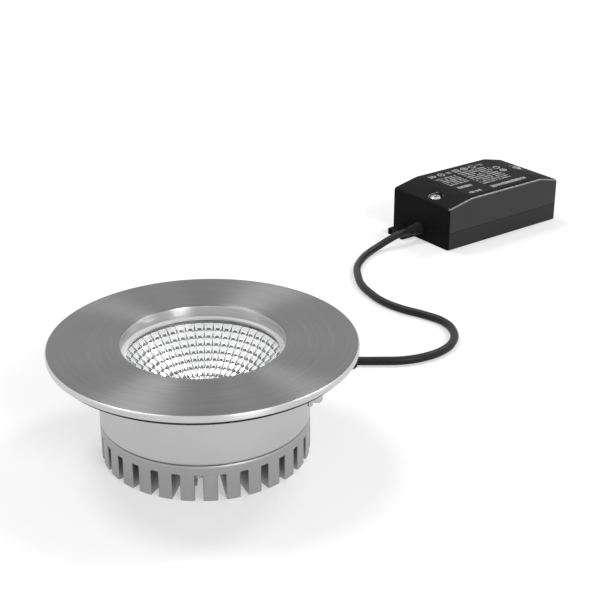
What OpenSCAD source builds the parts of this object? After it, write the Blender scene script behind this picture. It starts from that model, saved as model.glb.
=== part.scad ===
// Recessed soffit downlight with a remote driver, in millimetres.
// The lamp stands on its heat sink with its face up, as it lies on a bench before fitting, and turns over to fit.
// The origin is on the lamp's axis, in the plane that bears on the soffit. +Z is the way the light leaves.
// +Y is the side that the lead leaves by, and the driver lies behind the lamp, on the same surface.

/* [Trim] */
// Outside diameter of the faceplate
trim_d = 86; // [82:1:90]
// Thickness of the faceplate
trim_t = 2; // [1.5:0.1:2.5]
// Diameter of the opening in the faceplate
aperture_d = 45.5; // [44:0.5:46]
// Wall of the collar that hangs from the opening
collar_wall = 1.75; // [1.5:0.25:2]
// Radius on the faceplate's outer edges
edge_r = 0.5; // [0.3:0.1:0.7]
// Thickness of the soft gasket under the faceplate
gasket_t = 1.2; // [1:0.1:1.5]

/* [Soffit cut-out] */
// Diameter of the hole that the lamp fits
cutout_d = 68; // [68:1:68]
// Radial gap between that hole and the locating collar
cutout_gap = 0.5; // [0.4:0.1:0.8]
// Height of the locating collar below the bearing plane
locating_h = 1.5; // [1:0.5:2]

/* [Lamp body] */
// Radius of the round body below the collar
body_r = 29.5; // [29:0.1:29.5]
// Depth from the bearing plane to the top of the heat sink
body_depth = 19.2; // [19:0.1:20]
// Wall of the body
body_wall = 2.1; // [1.8:0.1:2.3]
// Bevel on the rims where the body and the heat sink meet
rim_bevel = 0.4; // [0.2:0.1:0.6]
// Thickness of the front glass
glass_t = 3; // [2.5:0.5:3]
// Radius of the front glass
glass_r = 26; // [25.5:0.1:26]
// Radius of the clear round that the seal leaves
clear_r = 21.2; // [20.8:0.1:21.6]
// Lip of the seal in front of the glass
seal_lip = 0.6; // [0.5:0.1:0.8]

/* [Heat sink] */
// Depth from the bearing plane to the foot of the fins
lamp_depth = 30; // [30:0.5:32]
// Thickness of the plate that carries the light source
sink_plate_t = 3; // [2.5:0.5:3.5]
// Number of slots between the fins
sink_slots = 30; // [24:6:36]
// Width of each slot
slot_w = 2.2; // [1.6:0.1:2.2]
// Radius of the solid core inside the fins
core_r = 16.5; // [16:0.5:18]

/* [Reflector] */
// Radius of the reflector's mouth
mouth_r = 22; // [21:0.1:22]
// Radius at the reflector's foot
foot_r = 7.6; // [7:0.1:9]
// Wall of the reflector
reflector_wall = 0.8; // [0.6:0.1:1]

/* [Spring clips] */
// Distance from the lamp's axis to each clip's pin
pin_x = 31.6; // [31.5:0.1:31.7]
// Depth of the pins below the bearing plane
pin_depth = 12; // [11:0.5:13]
// Radius of the pins
pin_r = 0.75; // [0.7:0.05:0.8]
// Length of each arm from pin to pad
arm_l = 13.6; // [13:0.1:14]
// Width of each arm
arm_w = 9; // [8:0.5:9]
// Curls in each clip's spring
spring_curls = 5; // [4:1:5]
// Diameter of the spring wire
wire_d = 0.5; // [0.4:0.05:0.5]

/* [Driver] */
// Length of the driver's case
driver_l = 60; // [58:1:64]
// Width of the driver's case
driver_w = 33; // [31:1:35]
// Height of the case at its two ends
driver_end_h = 17; // [16:0.5:19]
// Height that the flat middle of the cover stands above the ends
driver_rise = 2.3; // [1.5:0.1:3]
// Height of the seam between base and cover
seam_h = 7; // [6.5:0.5:8]
// Wall of both shells
shell_wall = 1.6; // [1.4:0.1:1.8]
// Radius on the case's upright corners
corner_r = 1.2; // [0.5:0.1:1.5]

/* [Lead] */
// Diameter of the lead from lamp to driver
lead_d = 2.8; // [2.8:0.1:2.8]

/* [Hidden] */
$fn = 96;

steel = [0.62, 0.62, 0.61];
cast = [0.78, 0.78, 0.79];
black = [0.09, 0.09, 0.1];
silicone = [0.8, 0.8, 0.78];
white = [0.93, 0.93, 0.91];
mirror_grey = [0.88, 0.88, 0.88];
gold = [0.83, 0.68, 0.25];
green = [0.1, 0.35, 0.2];
red = [0.7, 0.12, 0.1];

eps = 0.01;
floor_z = -lamp_depth;
face_z = gasket_t + trim_t;
trim_r = trim_d / 2;
aperture_r = aperture_d / 2;
collar_r = aperture_r + collar_wall;
cutout_r = cutout_d / 2;
locating_r = cutout_r - cutout_gap;
flange_r = cutout_r + 0.4;
gasket_in_r = cutout_r + 0.6;
gasket_out_r = trim_r - 1.5;

// Levels inside the body, each below the bearing plane
glass_front = -seal_lip;
glass_back = glass_front - glass_t;
seal_back = glass_back - seal_lip;
bore_r = body_r - body_wall;
seal_r = bore_r - 0.2;
flange_t = 0.8;
retainer_h = 2;
sink_top = -body_depth;
sink_plate_z = sink_top - sink_plate_t;
pad_t = 0.3;
board_t = 1;
board_w = 13.5;
board_z = sink_top + pad_t;
phosphor_t = 0.5;
phosphor_r = 4.6;
holder_r = 15.6;
holder_t = 1.1;
holder_screw_x = 13.5;
holder_screw_r = 1;

boss_x = 25.2;
boss_r = 2.7;
body_screw_r = 1.5;
body_screw_turns = [30, 150, 270];
body_screw_l = 9;

// Lead gland, in the back of the fins
gland_z = -25.5;
gland_r = 3;
gland_start = 16;
gland_boss_w = 9.2;
gland_boss_end = 24;
hex_y = 30;
hex_t = 1.6;
nut_y = hex_y + hex_t;
gland_mouth = 36;
gland_pocket_w = 8.4;
lead_r = lead_d / 2;
core_wire_r = 0.55;
wire_gap = 0.65;
riser_y = 13.6;

// Spring clips, drawn for the right side and turned half round for the left
pin_z = -pin_depth;
arm_tip_z = -2;
arm_angle = asin((arm_tip_z - pin_z) / arm_l);
arm_t = 1;
ear_in = arm_w / 2 + 0.2;
ear_t = 1.2;
bracket_t = 0.6;
knuckle_r = 1.35;
knuckle_w = 1.6;
knuckle_bore = pin_r + 0.05;
clip_pad_r = 1.5;
ear_r = 1.3;
spring_r = pin_r + wire_d / 2 + 0.15;
spring_l = 2 * (arm_w / 2 - knuckle_w);
rings_per_curl = 8;

// Driver, from the middle of its left end's foot
driver_left = [74, 160];
driver_turn = atan2(3, 4);
driver_top = driver_end_h + driver_rise;
slope_left = 11.8;
slope_right = driver_l - 10.2;
lead_h = gland_z - floor_z;
grommet_l = 5;
grommet_neck_r = 2.2;
fork_y = 7.6;
fork_l = 6.5;
fork_w = 9.4;
fork_slot = 4.4;
fork_end = -1.8;
fork_t = 2.4;
mains_hole_r = 3.5;
mains_y = -6.5;
mains_h = seam_h + mains_hole_r + 0.5;
label_t = 0.3;
cover_screw_r = 2.3;
cover_screw_at = [[4.8, -3.4], [driver_l - 4.8, 2.6]];
pillar_r = 2.1;
pillar_h = 11;
pcb_x = [7.6, driver_l - 8];
pcb_z = 3.2;
pcb_t = 1.4;
post_r = 1.8;
terminal_y = 2;
terminal_hole_r = 1.2;
parts_z = pcb_z + pcb_t;

// The lead's centreline, from the gland's mouth to the grommet. It lies on the bench between the two.
lead_lie = floor_z + lead_r;
lead_path = [[0, 36, -25.5], [0, 41, -25.5], [2.5, 46, -26.4], [8, 49.5, -27.8], [16, 50.5, lead_lie],
    [25, 50.5, lead_lie], [34, 50, lead_lie], [43, 50, lead_lie], [52, 50, lead_lie],
    [60, 50.5, lead_lie], [67, 53, lead_lie], [73, 57.5, lead_lie], [77, 64, lead_lie],
    [78, 72, lead_lie], [75.5, 79.5, lead_lie], [69.5, 85, lead_lie], [62, 90, lead_lie],
    [56, 96, lead_lie], [52, 103, lead_lie], [49, 111, lead_lie], [48, 119, lead_lie],
    [48, 127, lead_lie], [50, 135, lead_lie], [53, 141.5, -28.5], [57, 146.5, -27.8],
    [61.5, 150.5, -26.5], [66, 154, -25.5], [70, 157, -25.5]];
lead_sides = 8;

// ---- Shared shapes ----

// A flat ring from height z, t thick
module ring(outer_r, inner_r, z, t) {
    translate([0, 0, z])
        difference() {
            cylinder(r = outer_r, h = t);
            translate([0, 0, -1])
                cylinder(r = inner_r, h = t + 2);
        }
}

// A rectangle with round corners, from the origin
module round_rect(l, w, r) {
    translate([r, 0])
        square([l - 2 * r, w]);
    translate([0, r])
        square([l, w - 2 * r]);
    for (x = [r, l - r], y = [r, w - r])
        translate([x, y])
            circle(r = r, $fn = 32);
}

// A cylinder that runs along Y from y0, l long
module bar_y(r, y0, l, x = 0, z = 0) {
    translate([x, y0, z])
        rotate([-90, 0, 0])
            cylinder(r = r, h = l);
}

// A pan head with a cross recess, its seat at the origin and its shank below
module pan_screw(head_r, head_h, shank_r, shank_l) {
    slot = head_r * 0.28;
    difference() {
        union() {
            cylinder(r = head_r, h = head_h * 0.55);
            translate([0, 0, head_h * 0.55])
                cylinder(r1 = head_r, r2 = head_r * 0.72, h = head_h * 0.45);
        }
        for (a = [0, 90])
            rotate([0, 0, a + 30])
                translate([-head_r * 0.62, -slot / 2, head_h * 0.5])
                    cube([head_r * 1.24, slot, head_h]);
    }
    translate([0, 0, -shank_l])
        cylinder(r = shank_r, h = shank_l);
}

// Corner numbers of the triangles that skin a tube of n rings with s sides, ends closed
function tube_faces(n, s) = [
    for (i = [0 : n - 2], j = [0 : s - 1]) [i * s + j, i * s + (j + 1) % s, (i + 1) * s + j],
    for (i = [0 : n - 2], j = [0 : s - 1])
        [i * s + (j + 1) % s, (i + 1) * s + (j + 1) % s, (i + 1) * s + j],
    for (j = [1 : s - 2]) [0, j + 1, j],
    for (j = [1 : s - 2]) [(n - 1) * s, (n - 1) * s + j, (n - 1) * s + j + 1]
];

function unit(v) = v / norm(v);
function heading(p, i) = unit(p[min(i + 1, len(p) - 1)] - p[max(i - 1, 0)]);

// Corners of the ring at point i, square to the path, with level as the way that stays upright
function tube_ring(p, i, r, s, level) =
    let (t = heading(p, i), side = unit(cross(t, level)), up = cross(side, t))
    [for (j = [0 : s - 1]) p[i] + r * (cos(360 * j / s) * up + sin(360 * j / s) * side)];

// A tube of s sides along the path p
module tube(p, r, s, level = [0, 0, 1]) {
    corners = [for (i = [0 : len(p) - 1]) each tube_ring(p, i, r, s, level)];
    polyhedron(points = corners, faces = tube_faces(len(p), s));
}

// ---- Lamp ----

module trim_ring() {
    color(steel)
        rotate_extrude()
            union() {
                translate([collar_r - eps, gasket_t])
                    square([trim_r - edge_r - collar_r + eps, trim_t]);
                translate([trim_r - edge_r - eps, gasket_t + edge_r])
                    square([edge_r + eps, trim_t - 2 * edge_r]);
                for (y = [gasket_t + edge_r, face_z - edge_r])
                    translate([trim_r - edge_r, y])
                        circle(r = edge_r, $fn = 32);
                // Collar, with a small bevel round the opening
                polygon([[aperture_r, 0], [collar_r, 0], [collar_r, face_z],
                    [aperture_r + 0.3, face_z], [aperture_r, face_z - 0.3]]);
            }
}

module soffit_gasket() {
    color(black)
        ring(gasket_out_r, gasket_in_r, 0, gasket_t);
}

module lamp_body() {
    color(cast)
        difference() {
            union() {
                rotate_extrude()
                    polygon([[bore_r, sink_top], [body_r - rim_bevel, sink_top],
                        [body_r, sink_top + rim_bevel], [body_r, -locating_h - 1],
                        [body_r + 0.6, -locating_h], [locating_r, -locating_h], [locating_r, 0],
                        [flange_r, 0], [flange_r, gasket_t], [collar_r, gasket_t], [collar_r, 0],
                        [bore_r, 0]]);
                for (a = body_screw_turns)
                    rotate([0, 0, a])
                        translate([boss_x, 0, sink_top])
                            cylinder(r = boss_r, h = body_screw_l);
            }
            for (a = body_screw_turns)
                rotate([0, 0, a])
                    translate([boss_x, 0, sink_top - 1])
                        cylinder(r = body_screw_r, h = body_screw_l - 1);
        }
}

module front_glass() {
    color([0.9, 0.95, 0.95], 0.35)
        translate([0, 0, glass_back])
            cylinder(r = glass_r, h = glass_t);
}

// Channel of soft rubber that wraps the edge of the glass
module glass_seal() {
    color(silicone)
        rotate_extrude()
            polygon([[clear_r, 0], [seal_r, 0], [seal_r, seal_back], [glass_r - 2.8, seal_back],
                [glass_r - 2.8, glass_back], [glass_r, glass_back], [glass_r, glass_front],
                [clear_r, glass_front]]);
}

module retaining_ring() {
    color(cast)
        ring(bore_r, bore_r - 2, seal_back - flange_t - retainer_h, retainer_h);
}

// Bowl of the reflector: a parabola from its foot to its mouth, whose rim stands just behind the glass
module reflector() {
    top = seal_back;
    rim = glass_back - 0.15;
    foot = board_z + board_t + holder_t;
    steps = 14;
    inner = [for (i = [0 : steps]) let (k = i / steps)
        [foot_r + (mouth_r - foot_r) * pow(k, 0.62), foot + (rim - foot) * k]];
    outer = [for (i = [steps - 2 : -1 : 0]) inner[i] + [reflector_wall, 0]];
    color(mirror_grey)
        rotate_extrude()
            polygon(concat(inner, [[mouth_r + 0.5, rim], [mouth_r + 0.5, top], [bore_r, top],
                [bore_r, top - flange_t], [mouth_r + reflector_wall, top - flange_t]], outer));
}

module led_holder() {
    z = board_z;
    color(white)
        difference() {
            translate([0, 0, sink_top])
                cylinder(r = holder_r, h = z - sink_top + board_t + holder_t);
            translate([0, 0, z + board_t - eps])
                cylinder(r = foot_r - 0.4, h = holder_t + 1);
            translate([-board_w / 2, -board_w / 2, sink_top - 1])
                cube([board_w, board_w, z - sink_top + board_t + 1]);
            for (x = [-1, 1])
                translate([x * holder_screw_x, 0, sink_top - 1])
                    cylinder(r = holder_screw_r, h = 5);
            translate([-1.6, riser_y - 1.5, sink_top - 1])
                cube([3.2, 3, 5]);
        }
}

module led_board() {
    color(cast)
        translate([-board_w / 2, -board_w / 2, board_z])
            cube([board_w, board_w, board_t]);
}

module led_phosphor() {
    color(gold)
        translate([0, 0, board_z + board_t])
            cylinder(r = phosphor_r, h = phosphor_t);
}

module thermal_pad() {
    color([0.5, 0.55, 0.6])
        translate([-board_w / 2, -board_w / 2, sink_top])
            cube([board_w, board_w, pad_t]);
}

module holder_screws() {
    color(steel)
        for (x = [-1, 1])
            translate([x * holder_screw_x, 0, board_z + board_t + holder_t])
                pan_screw(1.8, 1, holder_screw_r, 5);
}

module heat_sink() {
    color(cast)
        difference() {
            union() {
                difference() {
                    rotate_extrude()
                        polygon([[0, floor_z], [body_r, floor_z], [body_r, sink_top - rim_bevel],
                            [body_r - rim_bevel, sink_top], [0, sink_top]]);
                    for (i = [0 : sink_slots - 1])
                        rotate([0, 0, (i + 0.5) * 360 / sink_slots])
                            translate([core_r, -slot_w / 2, floor_z - 1])
                                cube([body_r, slot_w, sink_plate_z - floor_z + 1]);
                }
                translate([-gland_boss_w / 2, core_r - 2, floor_z])
                    cube([gland_boss_w, gland_boss_end - core_r + 2, sink_plate_z - floor_z + 1]);
            }
            // Pocket and bore for the lead gland
            translate([-gland_pocket_w / 2, gland_boss_end, floor_z - 1])
                cube([gland_pocket_w, body_r, sink_plate_z - floor_z + 1]);
            bar_y(gland_r, gland_start, body_r, z = gland_z);
            bar_y(1.6, riser_y, body_r, z = gland_z);
            translate([0, riser_y, gland_z])
                cylinder(r = 1.4, h = sink_top - gland_z + 1);
            // Seats and holes of the screws that hold the body
            for (a = body_screw_turns)
                rotate([0, 0, a])
                    translate([boss_x, 0, 0]) {
                        translate([0, 0, floor_z - 1])
                            cylinder(r = 3.4, h = sink_plate_z - floor_z + 1);
                        translate([0, 0, floor_z])
                            cylinder(r = body_screw_r, h = lamp_depth);
                    }
            for (x = [-1, 1])
                translate([x * holder_screw_x, 0, sink_top - 3])
                    cylinder(r = holder_screw_r, h = 4);
        }
}

module body_screws() {
    color(steel)
        for (a = body_screw_turns)
            rotate([0, 0, a])
                translate([boss_x, 0, sink_plate_z])
                    rotate([180, 0, 0])
                        pan_screw(2.75, 2, body_screw_r, sink_plate_t + body_screw_l - 2.5);
}

module gland_body() {
    color(black)
        difference() {
            union() {
                bar_y(gland_r, gland_start, hex_y - gland_start, z = gland_z);
                translate([0, hex_y, gland_z])
                    rotate([-90, 0, 0])
                        rotate([0, 0, 30])
                            cylinder(r = 4.3, h = hex_t, $fn = 6);
            }
            bar_y(1.6, gland_start - 1, 20, z = gland_z);
        }
}

module gland_nut() {
    color(black)
        difference() {
            translate([0, nut_y, gland_z])
                rotate([-90, 0, 0]) {
                    cylinder(r = 3.5, h = 2);
                    translate([0, 0, 2])
                        cylinder(r1 = 3.5, r2 = 2.5, h = gland_mouth - nut_y - 2);
                }
            bar_y(2.05, nut_y - 1, 10, z = gland_z);
        }
}

module gland_seal() {
    color(silicone * 0.3)
        difference() {
            bar_y(2.05, nut_y, gland_mouth - nut_y, z = gland_z);
            bar_y(1.25, nut_y - 1, 10, z = gland_z);
        }
}

// The lead's two cores, from the gland up to the light source
module lamp_wires() {
    top = board_z + board_t + holder_t + core_wire_r + eps;
    for (x = [-wire_gap, wire_gap])
        color(x > 0 ? red : black)
            tube([[x, gland_mouth, gland_z], [x, riser_y + 0.9, gland_z], [x, riser_y, gland_z + 0.9],
                [x, riser_y, top - 0.7], [x, riser_y - 0.7, top], [x, riser_y - 1.8, top]],
                core_wire_r, 6, [1, 0, 0]);
}

// ---- Spring clips ----

module right_side() {
    children();
}

module left_side() {
    rotate([0, 0, 180])
        children();
}

module clip_bracket() {
    color(steel)
        difference() {
            union() {
                translate([body_r - 2, -ear_in - ear_t, pin_z - 2.5])
                    cube([2 + bracket_t, 2 * (ear_in + ear_t), 6.5]);
                for (y = [-ear_in - ear_t, ear_in]) {
                    translate([body_r - 2, y, pin_z - ear_r])
                        cube([pin_x - body_r + 2, ear_t, 2 * ear_r]);
                    bar_y(ear_r, y, ear_t, x = pin_x, z = pin_z);
                }
            }
            translate([0, 0, sink_top])
                cylinder(r = body_r, h = body_depth, $fn = 192);
            bar_y(pin_r, -ear_in - ear_t - 1, 2 * (ear_in + ear_t) + 2, x = pin_x, z = pin_z);
        }
}

module clip_pin() {
    l = 2 * (ear_in + ear_t);
    color(steel)
        union() {
            bar_y(pin_r, -l / 2, l, x = pin_x, z = pin_z);
            for (y = [-l / 2 - 0.4, l / 2])
                bar_y(pin_r + 0.35, y, 0.4, x = pin_x, z = pin_z);
        }
}

// Places a clip's arm, which is drawn along +X from its pin
module arm_place() {
    translate([pin_x, 0, pin_z])
        rotate([0, -arm_angle, 0])
            children();
}

module clip_arm() {
    slot_l = 3.4;
    color(steel)
        arm_place()
            difference() {
                union() {
                    translate([0, -arm_w / 2, knuckle_r - arm_t])
                        cube([arm_l - clip_pad_r + 0.6, arm_w, arm_t]);
                    for (y = [-arm_w / 2, arm_w / 2 - knuckle_w])
                        bar_y(knuckle_r, y, knuckle_w);
                }
                translate([-5, -arm_w / 2 + knuckle_w, -5])
                    cube([5 + slot_l, arm_w - 2 * knuckle_w, 10]);
                bar_y(knuckle_bore, -arm_w, 2 * arm_w);
                // Lightening window
                translate([slot_l + 2, -arm_w / 4, -5])
                    cube([3.4, arm_w / 2, 10]);
            }
}

// Soft pad on the arm's end, which bears on the back of the soffit
module clip_pad() {
    color(black)
        arm_place()
            difference() {
                bar_y(clip_pad_r, -arm_w / 2 - 0.3, arm_w + 0.6, x = arm_l);
                translate([-1, -arm_w / 2, knuckle_r - arm_t])
                    cube([arm_l - clip_pad_r + 1.6, arm_w, arm_t]);
            }
}

// Wound spring round the pin, its ends straight against the arm's knuckles
module clip_spring() {
    lead_in = wire_d;
    wound = spring_l - 2 * lead_in;
    turns = spring_curls * rings_per_curl;
    curl = [for (i = [0 : turns]) let (a = 360 * i / rings_per_curl)
        [spring_r * cos(a), lead_in - spring_l / 2 + wound * i / turns, spring_r * sin(a)]];
    path = concat([[spring_r, -spring_l / 2, 0]], curl, [[spring_r, spring_l / 2, 0]]);
    corners = [for (i = [0 : len(path) - 1]) let (a = 360 * (i - 1) / rings_per_curl)
        each spring_ring(path[i], i == 0 || i == len(path) - 1 ? 0 : a, i, len(path))];
    gap = wound / spring_curls - wire_d;
    echo(str("clip spring gap between curls: ", gap, " mm"));
    color(steel)
        translate([pin_x, 0, pin_z])
            polyhedron(points = corners, faces = tube_faces(len(path), 6));
}

// A hexagon of wire: level with the coil's radius inside the winding, square to the pin at the ends
function spring_ring(c, a, i, n) =
    let (out = [cos(a), 0, sin(a)], along = [0, 1, 0], round = [-sin(a), 0, cos(a)],
        up = i == 0 || i == n - 1 ? -round : along)
    [for (j = [0 : 5]) c + wire_d / 2 * (cos(60 * j) * out + sin(60 * j) * up)];

// ---- Lead ----

module driver_lead() {
    color(black)
        tube(lead_path, lead_r, lead_sides);
}

// ---- Driver ----

// Places the driver, which is drawn with its length along +X and its left end at x = 0
module driver_place() {
    translate([driver_left[0], driver_left[1], floor_z])
        rotate([0, 0, driver_turn])
            children();
}

// A driver shell's outline, grown inwards by the inset
module case_outline(inset) {
    translate([inset, inset - driver_w / 2])
        round_rect(driver_l - 2 * inset, driver_w - 2 * inset, max(corner_r - inset, 0.3));
}

// The cover's side profile, lowered by the drop
module cover_profile(drop) {
    rotate([90, 0, 0])
        linear_extrude(height = driver_w + 2, center = true)
            polygon([[-1, 0], [driver_l + 1, 0], [driver_l + 1, driver_end_h - drop],
                [driver_l, driver_end_h - drop], [slope_right, driver_top - drop],
                [slope_left, driver_top - drop], [0, driver_end_h - drop], [-1, driver_end_h - drop]]);
}

// Fork that a fixing screw slides into, its prongs round at their tips
module fork() {
    prong_r = (fork_w - fork_slot) / 4;
    translate([0, fork_y, 0])
        linear_extrude(height = fork_t)
            difference() {
                union() {
                    translate([prong_r - fork_l, -fork_w / 2])
                        square([fork_l - prong_r + 1, fork_w]);
                    for (side = [-1, 1])
                        translate([prong_r - fork_l, side * (fork_w / 2 - prong_r)])
                            circle(r = prong_r, $fn = 32);
                }
                translate([fork_end - fork_slot / 2, 0])
                    circle(r = fork_slot / 2, $fn = 48);
                translate([-fork_l - 1, -fork_slot / 2])
                    square([fork_l + 1 + fork_end - fork_slot / 2, fork_slot]);
            }
}

module driver_base() {
    color(black)
        driver_place()
            difference() {
                union() {
                    difference() {
                        linear_extrude(height = seam_h)
                            case_outline(0);
                        translate([0, 0, shell_wall])
                            linear_extrude(height = seam_h)
                                case_outline(shell_wall);
                    }
                    fork();
                    // Pillars for the cover's screws, and posts under the board
                    for (p = cover_screw_at)
                        translate([p[0], p[1], shell_wall - eps])
                            cylinder(r = pillar_r, h = pillar_h - shell_wall);
                    for (x = [pcb_x[0] + 2.5, pcb_x[1] - 2.5], y = [-1, 1])
                        translate([x, y * (driver_w / 2 - 4.5), shell_wall - eps])
                            cylinder(r = post_r, h = pcb_z - shell_wall + eps);
                }
                for (p = cover_screw_at)
                    translate([p[0], p[1], shell_wall])
                        cylinder(r = 1.1, h = pillar_h);
                // Entry of the lamp's lead
                translate([-1, 0, lead_h])
                    rotate([0, 90, 0])
                        cylinder(r = grommet_neck_r, h = shell_wall + 2);
            }
}

module driver_cover() {
    color(black)
        driver_place()
            difference() {
                intersection() {
                    translate([0, 0, seam_h])
                        linear_extrude(height = driver_top)
                            case_outline(0);
                    cover_profile(0);
                }
                difference() {
                    intersection() {
                        translate([0, 0, seam_h - 1])
                            linear_extrude(height = driver_top)
                                case_outline(shell_wall);
                        cover_profile(shell_wall);
                    }
                    // Screw bosses stand down to the base's pillars
                    for (p = cover_screw_at)
                        translate([p[0], p[1], pillar_h])
                            cylinder(r = pillar_r, h = driver_top);
                }
                // Entry of the mains cable
                translate([driver_l - shell_wall - 1, mains_y, mains_h])
                    rotate([0, 90, 0])
                        cylinder(r = mains_hole_r, h = shell_wall + 2);
                // Round seats of the two screws
                for (p = cover_screw_at)
                    translate([p[0], p[1], driver_end_h - 0.3]) {
                        cylinder(r = cover_screw_r + 0.5, h = 5);
                        translate([0, 0, -driver_end_h])
                            cylinder(r = 1.1, h = driver_end_h + 1);
                    }
            }
}

module driver_label() {
    color([0.14, 0.14, 0.15])
        driver_place()
            translate([slope_left + 1, -driver_w / 2 + 2, driver_top])
                linear_extrude(height = label_t)
                    round_rect(slope_right - slope_left - 2, driver_w - 4, 1);
}

module cover_screws() {
    color(steel)
        driver_place()
            for (p = cover_screw_at)
                translate([p[0], p[1], driver_end_h - 0.3])
                    pan_screw(cover_screw_r, 1.2, 1.1, 10);
}

module circuit_board() {
    color(green)
        driver_place()
            translate([pcb_x[0], -driver_w / 2 + shell_wall + 0.4, pcb_z])
                cube([pcb_x[1] - pcb_x[0], driver_w - 2 * shell_wall - 0.8, pcb_t]);
}

module transformer() {
    driver_place()
        translate([30, 2, parts_z]) {
            color([0.2, 0.2, 0.22])
                difference() {
                    translate([-7, -6.5, 0])
                        cube([14, 13, 12.5]);
                    translate([-8, -4.5, 2])
                        cube([16, 9, 2.6]);
                }
            color(gold)
                translate([-6, -4.5, 2])
                    cube([12, 9, 2.6]);
        }
}

module input_capacitor() {
    color([0.15, 0.2, 0.4])
        driver_place()
            translate([42.5, 6, parts_z])
                cylinder(r = 4.5, h = 11.5);
}

module output_capacitors() {
    color([0.15, 0.2, 0.4])
        driver_place()
            for (y = [-4, 4])
                translate([18.5, y, parts_z])
                    cylinder(r = 3.1, h = 10);
}

// Two-pole terminal block, with its wire holes along X and its clamp screws sunk in the top
module terminal(wide, tall) {
    length = 7;
    difference() {
        translate([0, -wide / 2, 0])
            cube([length, wide, tall]);
        for (y = [-wide / 4, wide / 4]) {
            translate([-1, y, 3])
                rotate([0, 90, 0])
                    cylinder(r = terminal_hole_r, h = 5);
            translate([length / 2, y, tall - 1.2])
                cylinder(r = 1.4, h = 3);
        }
    }
}

module output_terminal() {
    color([0.2, 0.45, 0.3])
        driver_place()
            translate([8, terminal_y, parts_z])
                terminal(8, 6);
}

module mains_terminal() {
    color([0.2, 0.45, 0.3])
        driver_place()
            translate([pcb_x[1], mains_y, parts_z])
                rotate([0, 0, 180])
                    terminal(10, 7);
}

// The lead's two cores, from the grommet to the output terminal
module driver_wires() {
    driver_place()
        for (s = [-1, 1])
            color(s > 0 ? red : black)
                tube([[-grommet_l, s * wire_gap, lead_h], [2.6, s * wire_gap, lead_h],
                    [4.4, s * 0.8 + 0.3, lead_h + 0.9], [6.2, s * 1.6 + 1.5, lead_h + 2.6],
                    [8, s * 2 + terminal_y, parts_z + 3], [11, s * 2 + terminal_y, parts_z + 3]],
                    core_wire_r, 6);
}

// Tapered relief that holds the lead in the case's end
module driver_grommet() {
    color(black)
        driver_place()
            translate([0, 0, lead_h])
                rotate([0, 90, 0])
                    difference() {
                        union() {
                            translate([0, 0, -grommet_l])
                                cylinder(r1 = 1.8, r2 = 2.6, h = grommet_l);
                            translate([0, 0, -eps])
                                cylinder(r = grommet_neck_r, h = shell_wall + eps);
                            translate([0, 0, shell_wall])
                                cylinder(r = 2.7, h = 0.8);
                        }
                        translate([0, 0, -grommet_l - 1])
                            cylinder(r = 1.25, h = grommet_l + 5);
                    }
}

// Saddle that the mains cable lies in, under its entry
module mains_clamp() {
    color([0.2, 0.2, 0.22])
        driver_place()
            difference() {
                translate([driver_l - 5.6, mains_y - 5.5, shell_wall])
                    cube([3, 11, mains_h - shell_wall]);
                translate([driver_l - 8, mains_y, mains_h])
                    rotate([0, 90, 0])
                        cylinder(r = mains_hole_r + 0.1, h = 8);
            }
}

trim_ring();
soffit_gasket();
lamp_body();
front_glass();
glass_seal();
retaining_ring();
reflector();
led_holder();
led_board();
led_phosphor();
thermal_pad();
holder_screws();
heat_sink();
body_screws();
gland_body();
gland_nut();
gland_seal();
lamp_wires();
right_side() clip_bracket();  // clip_bracket_right
right_side() clip_pin();  // clip_pin_right
right_side() clip_arm();  // clip_arm_right
right_side() clip_pad();  // clip_pad_right
right_side() clip_spring();  // clip_spring_right
left_side() clip_bracket();  // clip_bracket_left
left_side() clip_pin();  // clip_pin_left
left_side() clip_arm();  // clip_arm_left
left_side() clip_pad();  // clip_pad_left
left_side() clip_spring();  // clip_spring_left
driver_lead();
driver_grommet();
driver_base();
driver_cover();
driver_label();
cover_screws();
circuit_board();
transformer();
input_capacitor();
output_capacitors();
output_terminal();
mains_terminal();
driver_wires();
mains_clamp();
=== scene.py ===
"""Recessed soffit downlight with its lead and remote driver: the looks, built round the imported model."""
import math
import bmesh
import bpy
from mathutils import Matrix, Vector


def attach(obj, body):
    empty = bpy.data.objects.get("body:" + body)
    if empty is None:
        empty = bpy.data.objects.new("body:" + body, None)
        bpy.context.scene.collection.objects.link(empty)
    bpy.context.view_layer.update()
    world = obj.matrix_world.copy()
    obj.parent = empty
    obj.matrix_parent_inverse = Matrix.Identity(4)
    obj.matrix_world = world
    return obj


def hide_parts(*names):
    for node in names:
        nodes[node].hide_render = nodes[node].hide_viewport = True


MM = 0.001
BENCH_Z = -30
BODY = "lamp_and_driver"
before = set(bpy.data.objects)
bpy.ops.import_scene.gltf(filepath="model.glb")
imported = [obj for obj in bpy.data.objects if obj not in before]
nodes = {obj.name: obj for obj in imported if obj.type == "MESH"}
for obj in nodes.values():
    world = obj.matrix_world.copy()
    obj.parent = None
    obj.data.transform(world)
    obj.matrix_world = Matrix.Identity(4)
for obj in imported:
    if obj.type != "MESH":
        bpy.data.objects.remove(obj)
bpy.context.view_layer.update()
scene = bpy.context.scene


# ---- Camera and lead, which come first ----

CAMERA_PLACE = (0.02661, -0.32133, 0.15968)
CAMERA_DOWN = 24.203  # degrees below level


def make_camera():
    data = bpy.data.cameras.new("camera")
    data.sensor_width = 36
    data.lens = 78
    data.clip_start = 0.01
    data.clip_end = 20
    camera = bpy.data.objects.new("camera", data)
    camera.location = CAMERA_PLACE
    camera.rotation_euler = (math.radians(90 - CAMERA_DOWN), 0, 0)
    scene.collection.objects.link(camera)
    scene.camera = camera


def show(piece):
    scene.collection.objects.link(piece)
    return piece


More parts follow.
